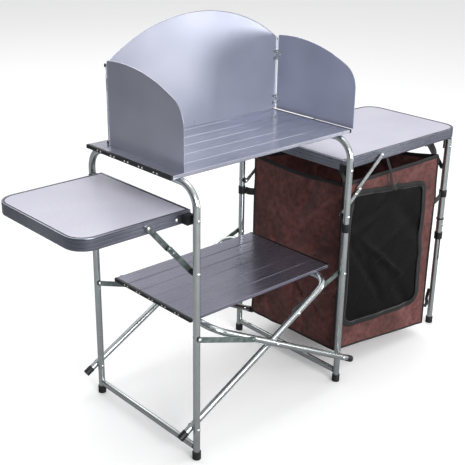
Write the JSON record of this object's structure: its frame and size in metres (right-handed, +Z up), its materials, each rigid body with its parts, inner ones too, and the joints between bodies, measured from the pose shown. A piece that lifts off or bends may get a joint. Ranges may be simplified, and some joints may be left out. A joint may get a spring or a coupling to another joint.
{
  "type": "folding camp kitchen table",
  "caption": "Folding aluminium camp kitchen table with a cook top and windscreen, a lower shelf, hinged side tables and a hanging fabric cabinet.",
  "frame": {"origin": "on the floor, under the axis of the left-hand front leg", "axes": "+X from the left side table to the right side table, +Y to the back, +Z up"},
  "size_m": [1.5, 0.5006, 1.1223],
  "materials": {
    "tube": "satin",
    "slat": "satin",
    "sheet": "satin",
    "rim": "satin",
    "board": "laminate",
    "plastic": "moulded",
    "pins": "moulded",
    "rubber": "matte",
    "steel": "zinc plated",
    "link": "satin paint",
    "cloth": "woven polyester",
    "mesh": "net",
    "web": "woven webbing"
  },
  "bodies": {
    "left_frame": {"left_end_frame": "tube", "left_crossbar": "tube", "left_feet": "rubber", "left_leg_rivets": "steel", "left_fittings": "plastic"},
    "scissor_a": {"scissor_frame_a": "tube", "scissor_a_caps": "plastic", "scissor_a_rivets": "steel"},
    "scissor_b": {"scissor_frame_b": "tube", "scissor_b_caps": "plastic"},
    "left_links": {"left_link_bars": "link"},
    "right_links": {"right_link_bars": "link"},
    "right_frame": {"right_end_frame": "tube", "right_crossbar": "tube", "right_feet": "rubber", "right_leg_rivets": "steel", "right_fittings": "plastic", "main_leg_straps": "web"},
    "shelf": {"shelf_slats": "slat", "shelf_end_caps": "plastic", "shelf_pins": "pins"},
    "cook_top": {"cook_slats": "slat", "cook_end_caps": "plastic", "cook_pins": "pins", "cook_saddles": "plastic", "windscreen_back": "sheet", "screen_hinge_pins": "steel"},
    "screen_left": {"windscreen_left": "sheet", "left_screen_leaves": "steel"},
    "screen_right": {"windscreen_right": "sheet", "right_screen_leaves": "steel"},
    "left_table": {"left_table_board": "board", "left_table_rim": "rim", "left_table_brackets": "plastic", "left_table_rivets": "steel"},
    "left_stay_tops": {"left_upper_stays": "steel"},
    "left_stay_feet": {"left_lower_stays": "steel"},
    "right_table": {"right_table_board": "board", "right_table_rim": "rim", "right_table_brackets": "plastic", "right_table_rivets": "steel", "far_leg_brackets": "steel", "cabinet_shell": "cloth", "cabinet_door": "mesh", "cabinet_shelf": "cloth", "cabinet_straps": "web"},
    "right_stay_tops": {"right_upper_stays": "steel"},
    "right_stay_feet": {"right_lower_stays": "steel"},
    "far_legs": {"far_upper_legs": "tube", "far_collars": "plastic", "far_leg_rivets": "steel", "far_leg_straps": "web"},
    "far_front": {"far_lower_leg_front": "tube", "far_foot_front": "rubber"},
    "far_back": {"far_lower_leg_back": "tube", "far_foot_back": "rubber"},
    "button_front": {"leg_button_front": "steel"},
    "button_back": {"leg_button_back": "steel"},
    "far_stay_tops": {"far_stays_upper": "steel"},
    "far_stay_feet": {"far_stays_lower": "steel"}
  },
  "joints": [
    {"name": "fold", "type": "hinge", "parent": "left_frame", "child": "scissor_a", "pos_m": [0, 0.223, 0.092], "axis": [0, -1, 0], "range_deg": [0, 25]},
    {"name": "crossing", "type": "hinge", "parent": "scissor_a", "child": "scissor_b", "pos_m": [0.295, 0.223, 0.24754], "axis": [0, -1, 0], "range_deg": [-50.05, 0]},
    {"name": "right_leg_pivot", "type": "hinge", "parent": "scissor_b", "child": "right_frame", "pos_m": [0.59, 0.223, 0.092], "axis": [0, -1, 0], "range_deg": [0, 25.02]},
    {"name": "left_link_swing", "type": "hinge", "parent": "left_frame", "child": "left_links", "pos_m": [0, 0.223, 0.37], "axis": [0, -1, 0], "range_deg": [0, 51.07]},
    {"name": "right_link_swing", "type": "hinge", "parent": "right_frame", "child": "right_links", "pos_m": [0.59, 0.223, 0.37], "axis": [0, -1, 0], "range_deg": [-51.07, 0]},
    {"name": "shelf_swing", "type": "hinge", "parent": "scissor_a", "child": "shelf", "pos_m": [0.52446, 0.223, 0.3685], "axis": [0, -1, 0], "range_deg": [-77.58, 0]},
    {"name": "cook_top_lift", "type": "slide", "parent": "left_frame", "child": "cook_top", "axis": [0, 0, 1], "range_m": [0, 0.26206]},
    {"name": "left_table_fold", "type": "hinge", "parent": "left_frame", "child": "left_table", "pos_m": [0, 0.223, 0.693], "axis": [0, -1, 0], "range_deg": [0, 90]},
    {"name": "left_stay_top_swing", "type": "hinge", "parent": "left_table", "child": "left_stay_tops", "pos_m": [-0.126, 0.223, 0.697], "axis": [0, -1, 0], "range_deg": [0, 50.52]},
    {"name": "left_stay_foot_swing", "type": "hinge", "parent": "left_frame", "child": "left_stay_feet", "pos_m": [0, 0.223, 0.551], "axis": [0, -1, 0], "range_deg": [-37.57, 0]},
    {"name": "right_table_fold", "type": "hinge", "parent": "right_frame", "child": "right_table", "pos_m": [0.59, 0.223, 0.693], "axis": [0, 1, 0], "range_deg": [0, 28], "deforming": ["cabinet_shell", "cabinet_door", "cabinet_shelf", "cabinet_straps"]},
    {"name": "far_leg_swing", "type": "hinge", "parent": "right_table", "child": "far_legs", "pos_m": [1.141, 0.243, 0.65], "axis": [0, 1, 0], "range_deg": [0, 53.25]},
    {"name": "right_stay_top_swing", "type": "hinge", "parent": "right_table", "child": "right_stay_tops", "pos_m": [0.772, 0.243, 0.697], "axis": [0, 1, 0], "range_deg": [0, 25.57]},
    {"name": "right_stay_foot_swing", "type": "hinge", "parent": "right_frame", "child": "right_stay_feet", "pos_m": [0.59, 0.243, 0.551], "axis": [0, 1, 0], "range_deg": [-31.61, 0]},
    {"name": "far_stay_top_swing", "type": "hinge", "parent": "right_table", "child": "far_stay_tops", "pos_m": [1.062, 0.243, 0.668], "axis": [0, 1, 0], "range_deg": [-21.07, 0]},
    {"name": "far_stay_foot_swing", "type": "hinge", "parent": "far_legs", "child": "far_stay_feet", "pos_m": [1.141, 0.243, 0.575], "axis": [0, 1, 0], "range_deg": [0, 42.73]},
    {"name": "far_leg_front_slide", "type": "slide", "parent": "far_legs", "child": "far_front", "axis": [0, 0, 1], "range_m": [0, 0.12]},
    {"name": "far_leg_back_slide", "type": "slide", "parent": "far_legs", "child": "far_back", "axis": [0, 0, 1], "range_m": [0, 0.12]},
    {"name": "button_front_press", "type": "slide", "parent": "far_legs", "child": "button_front", "axis": [0, 1, 0], "range_m": [0, 0.003], "stiffness_N_per_m": 2000},
    {"name": "button_back_press", "type": "slide", "parent": "far_legs", "child": "button_back", "axis": [0, -1, 0], "range_m": [0, 0.003], "stiffness_N_per_m": 2000},
    {"name": "windscreen_left_fold", "type": "hinge", "parent": "cook_top", "child": "screen_left", "pos_m": [0.007, 0.368, 0.8], "axis": [0, 0, 1], "range_deg": [0, 90]},
    {"name": "windscreen_right_fold", "type": "hinge", "parent": "cook_top", "child": "screen_right", "pos_m": [0.635, 0.368, 0.8], "axis": [0, 0, -1], "range_deg": [0, 90]}
  ],
  "couplings": [
    {"joint": "crossing", "follows": "fold", "ratio": -2},
    {"joint": "right_leg_pivot", "follows": "fold", "ratio": 1},
    {"joint": "left_link_swing", "follows": "fold", "ratio": 2.0408},
    {"joint": "right_link_swing", "follows": "fold", "ratio": -2.0408},
    {"joint": "shelf_swing", "follows": "fold", "ratio": -3.1},
    {"joint": "cook_top_lift", "follows": "fold", "m_per_rad": 0.6},
    {"joint": "left_stay_top_swing", "follows": "left_table_fold", "ratio": 0.56072},
    {"joint": "left_stay_foot_swing", "follows": "left_table_fold", "ratio": -0.41706},
    {"joint": "far_leg_swing", "follows": "right_table_fold", "ratio": 1.9},
    {"joint": "right_stay_top_swing", "follows": "right_table_fold", "ratio": 0.91223},
    {"joint": "right_stay_foot_swing", "follows": "right_table_fold", "ratio": -1.128},
    {"joint": "far_stay_top_swing", "follows": "right_table_fold", "ratio": -0.75187},
    {"joint": "far_stay_foot_swing", "follows": "right_table_fold", "ratio": 1.5245}
  ]
}
